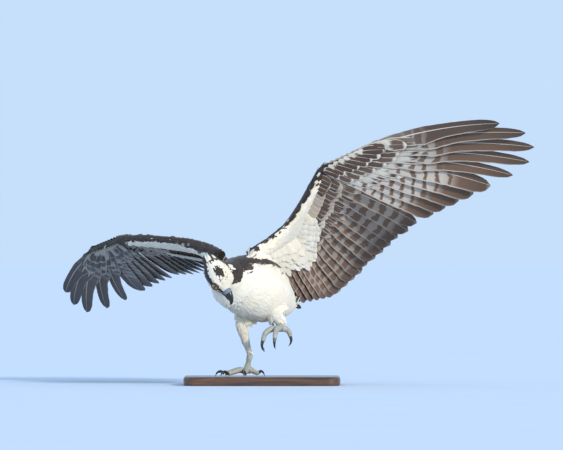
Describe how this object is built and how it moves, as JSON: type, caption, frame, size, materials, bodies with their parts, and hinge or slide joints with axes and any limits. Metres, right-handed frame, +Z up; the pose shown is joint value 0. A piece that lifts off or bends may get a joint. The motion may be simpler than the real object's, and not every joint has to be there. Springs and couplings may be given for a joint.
{
  "type": "osprey model",
  "caption": "Life-size still model of an osprey on one foot on a flat base, wings open, head down, the other foot drawn up.",
  "frame": {"origin": "centre of the underside of the display base", "axes": "+X to the right of the picture, -Y towards its camera, +Z up"},
  "size_m": [0.974, 0.8199, 0.5429],
  "materials": {
    "white_plumage": "soft white feathers with a faint cream tint",
    "dark_plumage": "blackish-brown feathers with pale tips",
    "barred_plumage": "grey-brown flight feathers with pale bars and shafts",
    "bill": "black horn with a blue-grey cere",
    "claw": "polished black horn",
    "foot_skin": "pale grey-green scaled skin",
    "eye": "glossy yellow iris with a black pupil",
    "display_base": "dark satin wood"
  },
  "bodies": {
    "root": {"stand_base": "display_base", "torso": "white_plumage", "neck": "white_plumage", "head": "white_plumage", "eye_left": "eye", "eye_right": "eye", "bill_upper": "bill", "bill_lower": "bill", "tail": "barred_plumage", "hand_left": "barred_plumage", "forearm_left": "barred_plumage", "upper_arm_left": "dark_plumage", "hand_right": "barred_plumage", "forearm_right": "barred_plumage", "upper_arm_right": "dark_plumage", "thigh_right": "white_plumage", "tarsus_right": "foot_skin", "toe_inner_right": "foot_skin", "claw_inner_right": "claw", "toe_middle_right": "foot_skin", "claw_middle_right": "claw", "toe_outer_right": "foot_skin", "claw_outer_right": "claw", "toe_hind_right": "foot_skin", "claw_hind_right": "claw", "thigh_left": "white_plumage", "tarsus_left": "foot_skin", "toe_inner_left": "foot_skin", "claw_inner_left": "claw", "toe_middle_left": "foot_skin", "claw_middle_left": "claw", "toe_outer_left": "foot_skin", "claw_outer_left": "claw", "toe_hind_left": "foot_skin", "claw_hind_left": "claw"}
  },
  "joints": []
}
